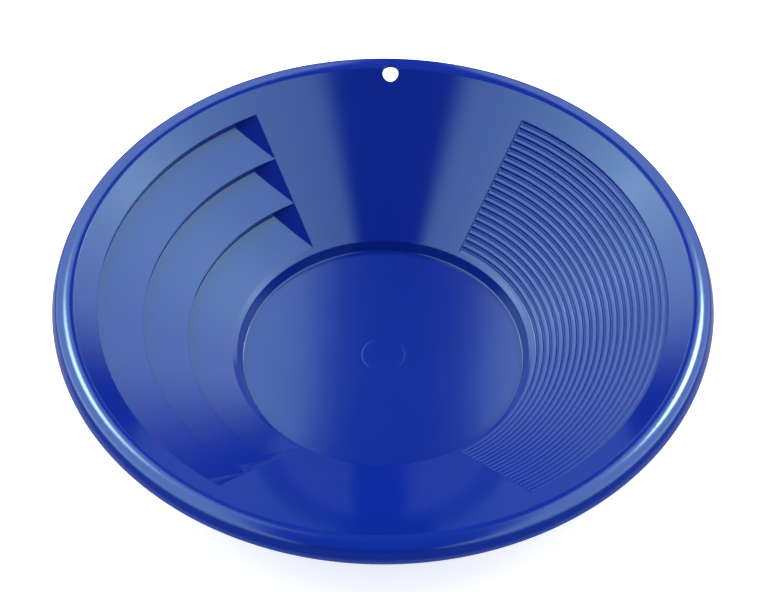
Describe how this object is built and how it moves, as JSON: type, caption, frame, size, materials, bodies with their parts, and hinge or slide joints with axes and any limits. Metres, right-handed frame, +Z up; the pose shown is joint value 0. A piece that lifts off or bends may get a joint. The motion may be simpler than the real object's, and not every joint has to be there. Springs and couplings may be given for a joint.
{
  "type": "gold pan",
  "caption": "Round plastic gold pan with a dropped flat floor, sloping wall, coarse and fine riffle fields, rolled rim and a hanging hole.",
  "frame": {"origin": "centre of the flat underside of the base", "axes": "+Z up out of the dish, +Y towards the hanging hole, -X towards the coarse riffles, +X towards the fine riffles"},
  "size_m": [0.3556, 0.3556, 0.0675],
  "materials": {
    "blue_plastic": "injection-moulded royal-blue polypropylene, glossy skin with a satin finish in the fine riffles"
  },
  "bodies": {
    "root": {"pan": "blue_plastic"}
  },
  "joints": []
}
